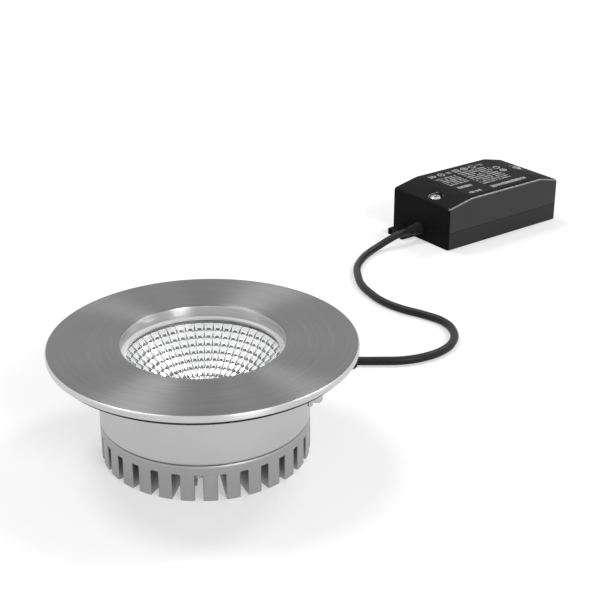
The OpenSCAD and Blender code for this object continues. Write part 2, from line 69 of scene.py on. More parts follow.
# The lead's middle line in millimetres, from the gland to the driver
LEAD_ROUTE = [
    (0, 36, -25.5), (0, 41, -25.5), (2.5, 46, -26.4), (8, 49.5, -27.8), (16, 50.5, -28.6),
    (25, 50.5, -28.6), (34, 50, -28.6), (43, 50, -28.6), (52, 50, -28.6), (60, 50.5, -28.6),
    (67, 53, -28.6), (73, 57.5, -28.6), (77, 64, -28.6), (78, 72, -28.6), (75.5, 79.5, -28.6),
    (69.5, 85, -28.6), (62, 90, -28.6), (56, 96, -28.6), (52, 103, -28.6), (49, 111, -28.6),
    (48, 119, -28.6), (48, 127, -28.6), (50, 135, -28.6), (53, 141.5, -28.5), (57, 146.5, -27.8),
    (61.5, 150.5, -26.5), (66, 154, -25.5), (70, 157, -25.5)]
LEAD_R = 1.4


def make_lead():
    line = bpy.data.curves.new("driver_lead_jacket", "CURVE")
    line.dimensions = "3D"
    line.bevel_depth = LEAD_R * MM
    line.bevel_resolution = 5
    line.resolution_u = 6
    line.use_fill_caps = True
    spline = line.splines.new("BEZIER")
    spline.bezier_points.add(len(LEAD_ROUTE) - 1)
    for knot, place in zip(spline.bezier_points, LEAD_ROUTE):
        knot.co = Vector(place) * MM
        knot.handle_left_type = knot.handle_right_type = "AUTO"
    return show(bpy.data.objects.new("driver_lead_jacket", line))


make_camera()
lead = make_lead()


# ---- Materials ----

# Noise lies mostly between these two, so a map runs from one to the other
NOISE_LOW, NOISE_HIGH = 0.3, 0.7


class NodeTree:
    """A node tree, built a node at a time."""

    def __init__(self, tree):
        self.tree = tree

    def add(self, kind, inputs=None, **settings):
        node = self.tree.nodes.new(kind)
        for key, value in settings.items():
            setattr(node, key, value)
        for key, value in (inputs or {}).items():
            self.plug(node.inputs[key], value)
        return node

    def plug(self, socket, value):
        if isinstance(value, bpy.types.NodeSocket):
            self.tree.links.new(value, socket)
        else:
            socket.default_value = value

    def math(self, operation, a, b=0.0):
        return self.add("ShaderNodeMath", {0: a, 1: b}, operation=operation).outputs[0]


class Finish(NodeTree):
    """One node material, with the calls that its maps are made with."""

    def __init__(self, name, **values):
        self.material = bpy.data.materials.new(name)
        self.material.use_nodes = True
        super().__init__(self.material.node_tree)
        self.shader = self.tree.nodes["Principled BSDF"]
        self.place = self.add("ShaderNodeTexCoord").outputs["Object"]
        for socket, value in values.items():
            self.set(socket.replace("_", " "), value)

    def set(self, name, value):
        if isinstance(value, tuple):
            value = (*value, 1)
        self.plug(self.shader.inputs[name], value)

    def stretch(self, scale):
        """The place, scaled along each axis."""
        return self.add("ShaderNodeMapping", {"Vector": self.place, "Scale": scale}).outputs["Vector"]

    def grain(self, scale, place=None, detail=4.0, rough=0.55):
        """Noise of so many features per metre, from 0 to 1."""
        return self.add("ShaderNodeTexNoise", {"Vector": place or self.place, "Scale": scale,
                                               "Detail": detail, "Roughness": rough}).outputs["Fac"]

    def blend(self, noise, low, high):
        """A colour between low and high."""
        node = self.add("ShaderNodeValToRGB", {"Fac": noise})
        ends = node.color_ramp.elements
        ends[0].position, ends[0].color = NOISE_LOW, (*low, 1)
        ends[1].position, ends[1].color = NOISE_HIGH, (*high, 1)
        return node.outputs["Color"]

    def remap(self, noise, low, high):
        """A number between low and high."""
        return self.add("ShaderNodeMapRange", {"Value": noise, "From Min": NOISE_LOW, "From Max": NOISE_HIGH,
                                               "To Min": low, "To Max": high}).outputs["Result"]

    def over(self, factor, under, top):
        """The top colour laid over the one under it."""
        node = self.add("ShaderNodeMix", data_type="RGBA")
        for index, value in ((0, factor), (6, under), (7, top)):
            if isinstance(value, tuple):
                value = (*value, 1)
            self.plug(node.inputs[index], value)
        return node.outputs[2]

    def bump(self, noise, depth, strength):
        """Bump of that depth in millimetres."""
        self.set("Normal", self.add("ShaderNodeBump", {
            "Height": noise, "Distance": depth * MM, "Strength": strength}).outputs["Normal"])


def polar_place(f, round_scale, out_scale):
    """A place in which noise runs in circles about the lamp's axis."""
    split = f.add("ShaderNodeSeparateXYZ", {0: f.place})
    flat = f.add("ShaderNodeCombineXYZ", {0: split.outputs[0], 1: split.outputs[1]}).outputs[0]
    way = f.add("ShaderNodeVectorMath", {0: flat}, operation="NORMALIZE").outputs[0]
    radius = f.add("ShaderNodeVectorMath", {0: flat}, operation="LENGTH").outputs["Value"]
    way = f.add("ShaderNodeVectorMath", {0: way, 3: round_scale}, operation="SCALE").outputs[0]
    parts = f.add("ShaderNodeSeparateXYZ", {0: way})
    depth = f.math("ADD", f.math("MULTIPLY", radius, out_scale),
                   f.math("MULTIPLY", split.outputs[2], out_scale))
    return f.add("ShaderNodeCombineXYZ", {0: parts.outputs[0], 1: parts.outputs[1], 2: depth}).outputs[0]


def turned(name, low, high, rough, broad_rings):
    """Metal turned or brushed in circles, so that its shine spreads across the rings."""
    f = Finish(name, Metallic=1.0, Anisotropic=0.93, Anisotropic_Rotation=0.25)
    fine = f.grain(1.0, polar_place(f, 2.2, 9000), detail=5, rough=0.7)
    broad = f.grain(1.0, polar_place(f, 1.3, broad_rings), detail=3)
    colour = f.blend(fine, low, high)
    f.set("Base Color", f.over(f.remap(broad, 0.0, 0.45), colour, tuple(0.9 * c for c in low)))
    f.set("Roughness", f.remap(fine, rough - 0.05, rough + 0.06))
    f.set("Tangent", f.add("ShaderNodeTangent", direction_type="RADIAL", axis="Z").outputs[0])
    f.bump(fine, 0.004, 0.6)
    return f.material


def facet_coat():
    """Bright vapour coat on the reflector's facets."""
    f = Finish("facet_coat", Metallic=1.0, Roughness=0.13)
    speck = f.grain(900, detail=2)
    f.set("Base Color", f.blend(speck, (0.9, 0.9, 0.9), (0.97, 0.97, 0.97)))
    f.set("Roughness", f.remap(speck, 0.1, 0.18))
    f.bump(f.grain(2600), 0.002, 0.4)
    return f.material


def bowl_coat():
    """A duller, dark coat in the grooves between the facets and on their walls: painted shade where they
    shade each other.
    """
    f = Finish("bowl_coat", Metallic=0.6, Roughness=0.5)
    speck = f.grain(1300)
    f.set("Base Color", f.blend(speck, (0.035, 0.035, 0.038), (0.07, 0.07, 0.074)))
    f.set("Roughness", f.remap(speck, 0.42, 0.6))
    f.bump(speck, 0.01, 0.4)
    return f.material


def flange_coat():
    """The pale satin coat on the bowl's flange and back."""
    f = Finish("flange_coat", Metallic=0.15, Roughness=0.35)
    speck = f.grain(1500)
    f.set("Base Color", f.blend(speck, (0.8, 0.8, 0.8), (0.88, 0.88, 0.88)))
    f.set("Roughness", f.remap(speck, 0.3, 0.42))
    f.bump(speck, 0.006, 0.3)
    return f.material


def clear_glass():
    """The front glass, with the faintest smear."""
    f = Finish("clear_glass", Roughness=0.01, IOR=1.45, Transmission_Weight=1.0)
    smear = f.grain(60, detail=2)
    f.set("Base Color", f.blend(smear, (0.975, 0.98, 0.98), (0.995, 1.0, 1.0)))
    f.set("Roughness", f.remap(smear, 0.0, 0.02))
    return f.material


def cast_metal(name, low, high, rough, grit):
    """Die-cast alloy with its fine skin."""
    f = Finish(name, Metallic=1.0)
    skin = f.grain(grit, detail=5, rough=0.65)
    cloud = f.grain(90, detail=2)
    colour = f.blend(skin, low, high)
    f.set("Base Color", f.over(f.remap(cloud, 0.0, 0.3), colour, tuple(0.94 * c for c in low)))
    f.set("Roughness", f.remap(skin, rough - 0.07, rough + 0.08))
    f.bump(skin, 0.02, 0.3)
    return f.material


def rolled_steel():
    """Cold-rolled strip with its long lines."""
    f = Finish("rolled_steel", Metallic=1.0, Roughness=0.3)
    lines = f.grain(1.0, f.stretch((5200, 260, 5200)), detail=4)
    f.set("Base Color", f.blend(lines, (0.46, 0.46, 0.455), (0.6, 0.6, 0.595)))
    f.set("Roughness", f.remap(lines, 0.22, 0.38))
    f.bump(lines, 0.006, 0.4)
    return f.material


def plated_screw():
    """Bright zinc plate, a little marked by its barrel."""
    f = Finish("plated_screw", Metallic=1.0, Roughness=0.24)
    mark = f.grain(1900, detail=4)
    f.set("Base Color", f.blend(mark, (0.4, 0.4, 0.39), (0.6, 0.6, 0.59)))
    f.set("Roughness", f.remap(mark, 0.18, 0.34))
    f.bump(mark, 0.01, 0.4)
    return f.material


def moulded(name, low, high, rough, grit=1500, depth=0.012, shine=0.3):
    """Moulded plastic or rubber with a fine spark-eroded skin."""
    f = Finish(name, Roughness=rough, Specular_IOR_Level=shine)
    skin = f.grain(grit, detail=3)
    cloud = f.grain(70, detail=2)
    colour = f.blend(skin, low, high)
    f.set("Base Color", f.over(f.remap(cloud, 0.0, 0.4), colour, tuple(0.82 * c for c in low)))
    f.set("Roughness", f.remap(skin, rough - 0.06, rough + 0.07))
    f.bump(skin, depth, 0.5)
    return f.material


def lead_rubber():
    """Extruded jacket: fine lines along it and a soft shine."""
    f = Finish("lead_rubber", Roughness=0.42, Specular_IOR_Level=0.22)
    skin = f.grain(1400, detail=3)
    f.set("Base Color", f.blend(skin, (0.009, 0.009, 0.0095), (0.015, 0.015, 0.0155)))
    f.set("Roughness", f.remap(skin, 0.36, 0.5))
    f.bump(skin, 0.012, 0.5)
    return f.material


def phosphor_gel():
    """The cast yellow layer over the light's chips."""
    f = Finish("phosphor_gel", Roughness=0.35, Subsurface_Weight=0.15)
    grains = f.grain(2600, detail=3)
    f.set("Base Color", f.blend(grains, (0.78, 0.72, 0.54), (0.86, 0.81, 0.64)))
    f.bump(grains, 0.01, 0.4)
    return f.material


def two_cores():
    """Core insulation: black at -X and red at +X in the lamp. The pair hidden in the driver is all red."""
    f = Finish("two_cores", Roughness=0.35)
    split = f.add("ShaderNodeSeparateXYZ", {0: f.place})
    side = f.math("GREATER_THAN", split.outputs[0], 0.0)
    skin = f.grain(1800)
    red = f.blend(skin, (0.42, 0.02, 0.016), (0.56, 0.035, 0.025))
    black = f.blend(skin, (0.02, 0.02, 0.02), (0.035, 0.035, 0.035))
    f.set("Base Color", f.over(side, black, red))
    f.bump(skin, 0.01, 0.3)
    return f.material


def label_film():
    """The driver's printed label: a smooth dark film."""
    f = Finish("label_film", Roughness=0.5, Specular_IOR_Level=0.04)
    skin = f.grain(2200, detail=2)
    f.set("Base Color", f.blend(skin, (0.0065, 0.0065, 0.007), (0.0105, 0.0105, 0.011)))
    f.set("Roughness", f.remap(skin, 0.44, 0.56))
    f.bump(skin, 0.004, 0.4)
    return f.material


def print_ink():
    """Thin grey ink with a broken face."""
    f = Finish("print_ink", Roughness=0.5)
    speck = f.grain(3600)
    f.set("Base Color", f.blend(speck, (0.36, 0.36, 0.36), (0.5, 0.5, 0.5)))
    f.bump(speck, 0.003, 0.3)
    return f.material


plate_steel = turned("plate_steel", (0.17, 0.17, 0.169), (0.245, 0.245, 0.244), 0.35, 1500)
# A lighter copy of the plate's steel for its edge: painted highlight
edge_steel = turned("edge_steel", (0.56, 0.56, 0.56), (0.68, 0.68, 0.68), 0.38, 2500)
# A lighter copy of the plate's steel for the collar's wall: painted sheen
collar_steel = turned("collar_steel", (0.5, 0.5, 0.5), (0.6, 0.6, 0.6), 0.32, 3500)
facet_bright = facet_coat()
# Dark coat for the grooves and the facets' walls: painted shade
bowl_painted_shade = bowl_coat()
flange_satin = flange_coat()
glass_clear = clear_glass()
body_alloy = cast_metal("body_alloy", (0.5, 0.5, 0.505), (0.56, 0.56, 0.565), 0.42, 3200)
sink_alloy = cast_metal("sink_alloy", (0.36, 0.36, 0.365), (0.42, 0.42, 0.425), 0.44, 2600)
strip_steel = rolled_steel()
screw_plate = plated_screw()
foam_rubber = moulded("foam_rubber", (0.03, 0.03, 0.032), (0.055, 0.055, 0.058), 0.8, 900, 0.06, 0.2)
seal_rubber = moulded("seal_rubber", (0.76, 0.76, 0.75), (0.84, 0.84, 0.83), 0.5, 1400, 0.01)
pad_rubber = moulded("pad_rubber", (0.02, 0.02, 0.021), (0.035, 0.035, 0.036), 0.62, 1200, 0.02, 0.3)
gland_plastic = moulded("gland_plastic", (0.022, 0.022, 0.024), (0.034, 0.034, 0.036), 0.45)
case_plastic = moulded("case_plastic", (0.009, 0.009, 0.0093), (0.013, 0.013, 0.0134), 0.55, 1700, 0.014,
                       0.03)
# Lighter copies of the case's plastic for the long sides: painted light
lid_side = moulded("lid_side", (0.027, 0.027, 0.028), (0.034, 0.034, 0.035), 0.42, 1700, 0.008, 0.3)
tray_side = moulded("tray_side", (0.018, 0.018, 0.019), (0.024, 0.024, 0.025), 0.48, 1700, 0.01, 0.24)
# A pale copy of the case's plastic for the lid's long edges: painted highlight
lid_edge = moulded("lid_edge", (0.19, 0.19, 0.191), (0.26, 0.26, 0.261), 0.28, 2600, 0.002, 0.6)
holder_plastic = moulded("holder_plastic", (0.78, 0.78, 0.76), (0.86, 0.86, 0.84), 0.4)
board_alloy = cast_metal("board_alloy", (0.66, 0.66, 0.66), (0.76, 0.76, 0.76), 0.3, 2400)
heat_pad = moulded("heat_pad", (0.3, 0.33, 0.36), (0.4, 0.43, 0.46), 0.75, 1600, 0.03, 0.2)
laminate = moulded("laminate", (0.03, 0.16, 0.07), (0.05, 0.22, 0.1), 0.35, 2600, 0.006, 0.5)
winding_tape = moulded("winding_tape", (0.09, 0.08, 0.07), (0.14, 0.12, 0.1), 0.5, 700, 0.03)
can_sleeve = moulded("can_sleeve", (0.03, 0.05, 0.14), (0.045, 0.07, 0.19), 0.3, 1500, 0.004, 0.5)
block_plastic = moulded("block_plastic", (0.05, 0.22, 0.11), (0.07, 0.28, 0.15), 0.42)
clamp_plastic = moulded("clamp_plastic", (0.05, 0.05, 0.055), (0.075, 0.075, 0.08), 0.5)
jacket_rubber = lead_rubber()
gel = phosphor_gel()
core_plastic = two_cores()
label_black = label_film()
ink = print_ink()


# ---- Making pieces ----

# Degrees: an edge that turns more isn't shaded smooth
CREASE, FACET_CREASE, WIRE_CREASE = 35, 20, 60


def mesh_piece(name, verts, faces, finish):
    mesh = bpy.data.meshes.new(name)
    mesh.from_pydata([tuple(v) for v in verts], [], faces)
    mesh.materials.append(finish)
    piece = show(bpy.data.objects.new(name, mesh))
    face_out(piece)
    shade(piece, CREASE)
    return piece


def face_out(piece):
    """Merges doubles and turns every face outwards."""
    work = bmesh.new()
    work.from_mesh(piece.data)
    bmesh.ops.remove_doubles(work, verts=work.verts, dist=1e-7)
    bmesh.ops.recalc_face_normals(work, faces=work.faces)
    work.to_mesh(piece.data)
    work.free()


def shade(piece, angle):
    piece.data.shade_smooth()
    piece.data.set_sharp_from_angle(angle=math.radians(angle))


def settle(piece):
    """Makes the piece's modifiers part of its mesh."""
    graph = bpy.context.evaluated_depsgraph_get()
    graph.update()
    mesh = bpy.data.meshes.new_from_object(piece.evaluated_get(graph))
    piece.modifiers.clear()
    piece.data = mesh
    mesh.name = piece.name


SHARP = math.radians(30)
RIM_STEP = 0.8  # every edge round a small hole is shorter
SEAM_Z = -23 * MM  # where the driver's shells meet
SEAM_SHARE, HOLE_SHARE = 0.25, 0.35
SMALL_EDGE = 0.2  # a narrower bevel is kept clear of its neighbours
FLAT = math.radians(0.4)  # faces that turn less are merged into one


def mark_edges(work):
    """Marks the sharp edges for the bevel: in full, but with a share round a small hole and at the seam."""
    mark = work.edges.layers.float.new("bevel_weight_edge")
    left = {edge for edge in work.edges if len(edge.link_faces) == 2 and edge.calc_face_angle(0) > SHARP}
    while left:
        chain, ends = set(), [left.pop()]
        while ends:
            edge = ends.pop()
            chain.add(edge)
            near = {other for vert in edge.verts for other in vert.link_edges} & left
            left -= near
            ends += near
        hole = all(edge.calc_length() < RIM_STEP * MM for edge in chain)
        for edge in chain:
            at_seam = all(abs(vert.co.z - SEAM_Z) < 1e-5 for vert in edge.verts)
            edge[mark] = SEAM_SHARE if at_seam else HOLE_SHARE if hole else 1.0


def eased(node, name, finish, width, segments=2, body=BODY):
    """A copy of a CAD node with its edges rounded to that width in millimetres, in the node's place."""
    source = nodes[node].data
    corners, sides = [v.co for v in source.vertices], [tuple(p.vertices) for p in source.polygons]
    piece = mesh_piece(name, corners, sides, finish)
    work = bmesh.new()
    work.from_mesh(piece.data)
    bmesh.ops.remove_doubles(work, verts=work.verts, dist=2e-6)
    bmesh.ops.dissolve_limit(work, angle_limit=FLAT, verts=work.verts, edges=work.edges)
    mark_edges(work)
    work.to_mesh(piece.data)
    work.free()
    bevel = piece.modifiers.new("edges", "BEVEL")
    bevel.width = width * MM
    bevel.segments = segments
    bevel.limit_method = "WEIGHT"
    bevel.use_clamp_overlap = width < SMALL_EDGE
    bevel.loop_slide = False
    piece.modifiers.new("flats", "WEIGHTED_NORMAL").keep_sharp = True
    settle(piece)
    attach(piece, body)
    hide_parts(node)
    return piece


def lathe(name, profile, finish, steps, place=None):
    """A closed profile of (radius, height) in millimetres, turned about Z."""
    verts = []
    for i in range(steps):
        turn = 2 * math.pi * i / steps
        verts += [Vector((r * math.cos(turn), r * math.sin(turn), z)) * MM for r, z in profile]
    n = len(profile)
    faces = [(i * n + j, (i + 1) % steps * n + j, (i + 1) % steps * n + (j + 1) % n, i * n + (j + 1) % n)
             for i in range(steps) for j in range(n)]
    if place:
        verts = [place @ v for v in verts]
    return mesh_piece(name, verts, faces, finish)


def corner(cx, cy, r, start, end):
    """Points of a rounded corner of a profile, angles in degrees."""
    steps = 5
    turns = [math.radians(start + (end - start) * i / steps) for i in range(steps + 1)]
    return [(cx + r * math.cos(t), cy + r * math.sin(t)) for t in turns]


def finish_faces(piece, finish, chosen):
    """Gives the faces that chosen(face) picks a finish of their own."""
    piece.data.materials.append(finish)
    slot = len(piece.data.materials) - 1
    for face in piece.data.polygons:
        if chosen(face):
            face.material_index = slot


def place_of(piece, body=BODY, replaces=()):
    """Says what the piece rides on and the CAD nodes that it stands for."""
    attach(piece, body)
    if replaces:
        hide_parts(*replaces)
    return piece


# The driver's own frame: x along it from the lead's end, y across it, z up from the bench
DRIVER = Matrix.Translation(Vector((74, 160, BENCH_Z)) * MM) @ Matrix.Rotation(math.atan2(3, 4), 4, "Z")


# ---- Geometry Nodes ----

class Recipe(NodeTree):
    """A Geometry Nodes tree with named inputs."""

    KINDS = {int: "NodeSocketInt", float: "NodeSocketFloat", "material": "NodeSocketMaterial"}

    def __init__(self, name, inputs):
        super().__init__(bpy.data.node_groups.new(name, "GeometryNodeTree"))
        face = self.tree.interface
        face.new_socket("Geometry", in_out="INPUT", socket_type="NodeSocketGeometry")
        face.new_socket("Geometry", in_out="OUTPUT", socket_type="NodeSocketGeometry")
        for key, kind in inputs.items():
            face.new_socket(key, in_out="INPUT", socket_type=self.KINDS[kind])
        self.given = self.tree.nodes.new("NodeGroupInput").outputs
        self.out = self.tree.nodes.new("NodeGroupOutput").inputs

    def vector(self, x, y, z):
        return self.add("ShaderNodeCombineXYZ", {0: x, 1: y, 2: z}).outputs[0]

    def finish(self, geometry, material):
        """Ends the tree in real geometry with its material."""
        real = self.add("GeometryNodeRealizeInstances", {"Geometry": geometry}).outputs[0]
        self.plug(self.out["Geometry"], self.add("GeometryNodeSetMaterial",
                                                 {"Geometry": real, "Material": material}).outputs[0])

    def make(self, name, values, place=None):
        """A piece made with this recipe, with its place in its mesh."""
        piece = show(bpy.data.objects.new(name, bpy.data.meshes.new(name)))
        cook = piece.modifiers.new("recipe", "NODES")
        cook.node_group = self.tree
        for item in self.tree.interface.items_tree:
            if item.item_type == "SOCKET" and item.in_out == "INPUT" and item.name in values:
                cook[item.identifier] = values[item.name]
        settle(piece)
        if place:
            piece.data.transform(place)
        return piece


def facet_recipe():
    """Rows of cushioned facets laid on the inside of a bowl, each proud at its foot end."""
    r = Recipe("facet_rows", {"Columns": int, "Rows": int, "Foot radius": float, "Mouth radius": float,
                              "Foot height": float, "Mouth height": float, "Curve": float, "Proud": float,
                              "Foot lift": float, "Row gap": float, "Column gap": float, "Taper": float,
                              "Crown across": float, "Crown along": float, "Notch": float,
                              "Finish": "material", "Wall finish": "material"})
    g = r.given

    def square(value):
        return r.math("MULTIPLY", value, value)

    # One facet for each point, with its row and column kept on it
    points = r.add("GeometryNodePoints", {"Count": r.math("MULTIPLY", g["Columns"], g["Rows"])}).outputs[0]
    index = r.add("GeometryNodeInputIndex").outputs[0]
    row = r.math("FLOOR", r.math("DIVIDE", r.math("ADD", index, 0.5), g["Columns"]))
    column = r.math("SUBTRACT", index, r.math("MULTIPLY", row, g["Columns"]))
    lean = r.add("FunctionNodeRandomValue", {2: -1.0, 3: 1.0, "ID": index, "Seed": 7},
                 data_type="FLOAT").outputs[1]
    for name, value in (("row", row), ("column", column), ("lean", lean)):
        points = r.add("GeometryNodeStoreNamedAttribute", {"Geometry": points, "Name": name, "Value": value},
                       data_type="FLOAT", domain="POINT").outputs[0]
    block = r.add("GeometryNodeMeshCube", {"Size": (1, 1, 1), "Vertices X": 6, "Vertices Y": 4,
                                           "Vertices Z": 2}).outputs["Mesh"]
    up = r.add("ShaderNodeSeparateXYZ", {0: r.add("GeometryNodeInputNormal").outputs[0]}).outputs[2]
    block = r.add("GeometryNodeStoreNamedAttribute", {
        "Geometry": block, "Name": "facing", "Value": r.add("FunctionNodeCompare", {
            0: up, 1: 0.5}, data_type="FLOAT", operation="GREATER_THAN").outputs[0]},
        data_type="BOOLEAN", domain="FACE").outputs[0]
    blocks = r.add("GeometryNodeInstanceOnPoints", {"Points": points, "Instance": block}).outputs[0]
    blocks = r.add("GeometryNodeRealizeInstances", {"Geometry": blocks}).outputs[0]

    def kept(name):
        return r.add("GeometryNodeInputNamedAttribute", {"Name": name}, data_type="FLOAT").outputs[0]

    # Each corner's place on the facet: across it, along it from the foot end, and on its face or its back
    spot = r.add("ShaderNodeSeparateXYZ", {0: r.add("GeometryNodeInputPosition").outputs[0]})
    flat, along = spot.outputs[0], spot.outputs[1]
    face = r.math("GREATER_THAN", spot.outputs[2], 0.0)
    wide = r.math("ABSOLUTE", flat)
    # The cushion's columns of corners are drawn out towards its sides
    across = r.math("MULTIPLY", r.math("SIGN", flat), r.math("MINIMUM", 0.5, r.math(
        "ADD", r.math("MULTIPLY", wide, 0.6), 0.19)))
    # The middle corners of the foot end are drawn back, which leaves a notch that shows the dark wall:
    # painted shade
    end = r.math("LESS_THAN", along, -0.49)
    drawn = r.math("MULTIPLY", r.math("MULTIPLY", end, r.math("LESS_THAN", wide, 0.2)), g["Notch"])
    run = r.math("MULTIPLY", along, r.math("SUBTRACT", 1.0, g["Row gap"]))
    step = r.math("ADD", r.math("ADD", 0.5, drawn), run)

    # The same place on the bowl, whose rows take more of its height towards the mouth
    def radius_at(part):
        span = r.math("SUBTRACT", g["Mouth radius"], g["Foot radius"])
        return r.math("ADD", g["Foot radius"], r.math("MULTIPLY", span, r.math("POWER", part, g["Curve"])))

    def height_at(part):
        rise = r.math("SUBTRACT", g["Mouth height"], g["Foot height"])
        return r.math("ADD", g["Foot height"], r.math("MULTIPLY", rise, part))

    row_growth = 1.15

    def part_at(offset):
        return r.math("POWER", r.math("DIVIDE", r.math("ADD", kept("row"), offset), g["Rows"]), row_growth)

    low, high, part = part_at(0.0), part_at(1.0), part_at(step)
    slope = r.math("ARCTAN2", r.math("SUBTRACT", height_at(high), height_at(low)),
                   r.math("SUBTRACT", radius_at(high), radius_at(low)))
    swell = r.math("MULTIPLY",
                   r.math("SUBTRACT", 1.0, r.math("MULTIPLY", square(across), g["Crown across"])),
                   r.math("SUBTRACT", 1.0, r.math("MULTIPLY", square(along), g["Crown along"])))
    lift = r.math("MULTIPLY", r.math("SUBTRACT", 0.5, along), g["Foot lift"])
    sway_share = 0.12
    sway = r.math("MULTIPLY", r.math("MULTIPLY", across, kept("lean")),
                  r.math("MULTIPLY", g["Proud"], sway_share))
    above = r.math("ADD", r.math("ADD", r.math("MULTIPLY", swell, g["Proud"]), lift), sway)
    stand = r.math("SUBTRACT", r.math("MULTIPLY", face, above),
                   r.math("MULTIPLY", r.math("SUBTRACT", 1.0, face), g["Proud"]))
    radius = r.math("SUBTRACT", radius_at(part), r.math("MULTIPLY", stand, r.math("SINE", slope)))
    level = r.math("ADD", height_at(part), r.math("MULTIPLY", stand, r.math("COSINE", slope)))
    taper = r.math("MULTIPLY", square(r.math("SUBTRACT", 0.5, along)), g["Taper"])
    aside = r.math("MULTIPLY", across, r.math("SUBTRACT", 1.0, r.math("ADD", g["Column gap"], taper)))
    turn = r.math("MULTIPLY", r.math("DIVIDE", r.math("SUBTRACT", kept("column"), aside), g["Columns"]),
                  2 * math.pi)
    shaped = r.add("GeometryNodeSetPosition", {"Geometry": blocks, "Position": r.vector(
        r.math("MULTIPLY", radius, r.math("COSINE", turn)), r.math("MULTIPLY", radius, r.math("SINE", turn)),
        level)}).outputs[0]
    # The side walls take the wall finish, which is painted shade where it is used
    walls = r.add("GeometryNodeSetMaterial", {"Geometry": shaped, "Material": g["Wall finish"]}).outputs[0]
    facing = r.add("GeometryNodeInputNamedAttribute", {"Name": "facing"}, data_type="BOOLEAN").outputs[0]
    r.plug(r.out["Geometry"], r.add("GeometryNodeSetMaterial", {
        "Geometry": walls, "Selection": facing, "Material": g["Finish"]}).outputs[0])
    return r


def spring_recipe():
    """A wound wire along Z, from the origin."""
    r = Recipe("wound_wire", {"Curls": float, "Coil radius": float, "Length": float, "Wire radius": float,
                              "Finish": "material"})
    g = r.given
    coil = r.add("GeometryNodeCurveSpiral", {
        "Resolution": 24, "Rotations": g["Curls"], "Start Radius": g["Coil radius"],
        "End Radius": g["Coil radius"], "Height": g["Length"]}).outputs[0]
    ring = r.add("GeometryNodeCurvePrimitiveCircle", {"Resolution": 10, "Radius": g["Wire radius"]},
                 mode="RADIUS").outputs[0]
    wire = r.add("GeometryNodeCurveToMesh", {"Curve": coil, "Profile Curve": ring,
                                             "Fill Caps": True}).outputs[0]
    r.finish(wire, g["Finish"])
    return r


def print_recipe():
    """Lines of small upright strokes with gaps between, as fine print looks from where it can't be read."""
    r = Recipe("print_lines", {"Lines": int, "Strokes": int, "Width": float, "Height": float, "Tall": float,
                               "Thickness": float, "Gaps": float, "Seed": int, "Finish": "material"})
    g = r.given
    points = r.add("GeometryNodePoints", {"Count": r.math("MULTIPLY", g["Lines"], g["Strokes"])}).outputs[0]
    index = r.add("GeometryNodeInputIndex").outputs[0]
    line = r.math("FLOOR", r.math("DIVIDE", r.math("ADD", index, 0.5), g["Strokes"]))
    along = r.math("SUBTRACT", index, r.math("MULTIPLY", line, g["Strokes"]))
    pitch = r.math("DIVIDE", g["Width"], g["Strokes"])
    step = r.math("DIVIDE", g["Height"], g["Lines"])
    at = r.vector(r.math("MULTIPLY", pitch, r.math("ADD", along, 0.5)),
                  r.math("MULTIPLY", step, r.math("ADD", line, 0.5)), 0.0)
    placed = r.add("GeometryNodeSetPosition", {"Geometry": points, "Position": at}).outputs[0]

    def chance(low, high, shift):
        return r.add("FunctionNodeRandomValue", {
            2: low, 3: high, "ID": index, "Seed": r.math("ADD", g["Seed"], shift)},
            data_type="FLOAT").outputs[1]

    kept = r.add("GeometryNodeDeleteGeometry", {"Geometry": placed, "Selection": r.add(
        "FunctionNodeCompare", {0: chance(0.0, 1.0, 0), 1: g["Gaps"]}, data_type="FLOAT",
        operation="LESS_THAN").outputs[0]}, domain="POINT").outputs[0]
    mark = r.add("GeometryNodeMeshCube", {"Size": (1, 1, 1)}).outputs["Mesh"]
    size = r.vector(r.math("MULTIPLY", pitch, chance(0.45, 0.8, 3)),
                    r.math("MULTIPLY", r.math("MULTIPLY", step, g["Tall"]), chance(0.7, 1.0, 9)),
                    g["Thickness"])
    marks = r.add("GeometryNodeInstanceOnPoints", {"Points": kept, "Instance": mark,
                                                   "Scale": size}).outputs[0]
    r.finish(marks, g["Finish"])
    return r


# ---- The lamp ----

def out_from_axis(face):
    """The face's distance from the lamp's axis, in millimetres."""
    return face.center.xy.length / MM


def make_faceplate():
    """The plate and its short collar: the flat brushed, the collar's wall and the plate's edge turned. The
    wall and the edge are the same steel painted lighter: painted sheen on the wall, painted highlight on the
    edge.
    """
    flat_z, flat_start, flat_end = 3.2, 23.05, 42.5
    wall_end, edge_start = 22.9, 42.7
    profile = [(22.75, 0), (22.75, 2.9), (22.85, 3.08), (flat_start, flat_z)]
    profile += [(flat_start + (flat_end - flat_start) * i / 12, flat_z) for i in range(1, 12)]
    profile += corner(flat_end, 2.7, 0.5, 90, 0) + corner(flat_end, 1.7, 0.5, 0, -90)
    profile += [(24.5, 1.2), (24.5, 0)]
    plate = place_of(lathe("faceplate", profile, plate_steel, 256),
                     replaces=["trim_ring"])
    # Lighter copies of the plate's steel: painted sheen on the collar's wall, painted highlight on the
    # plate's edge
    finish_faces(plate, collar_steel, lambda face: out_from_axis(face) < wall_end)
    finish_faces(plate, edge_steel, lambda face: out_from_axis(face) > edge_start)


# The bowl of the reflector: its radii and heights at the mouth and the foot, and how it curves
MOUTH_R, FOOT_R, MOUTH_Z, FOOT_Z, BOWL_CURVE = 22, 7.6, -3.75, -16.8, 0.62
BOWL_WALL = 0.8


def bowl_radius(z):
    """Radius of the bowl's inner wall at a height."""
    part = min(max((z - FOOT_Z) / (MOUTH_Z - FOOT_Z), 0.0), 1.0)
    return FOOT_R + (MOUTH_R - FOOT_R) * part ** BOWL_CURVE


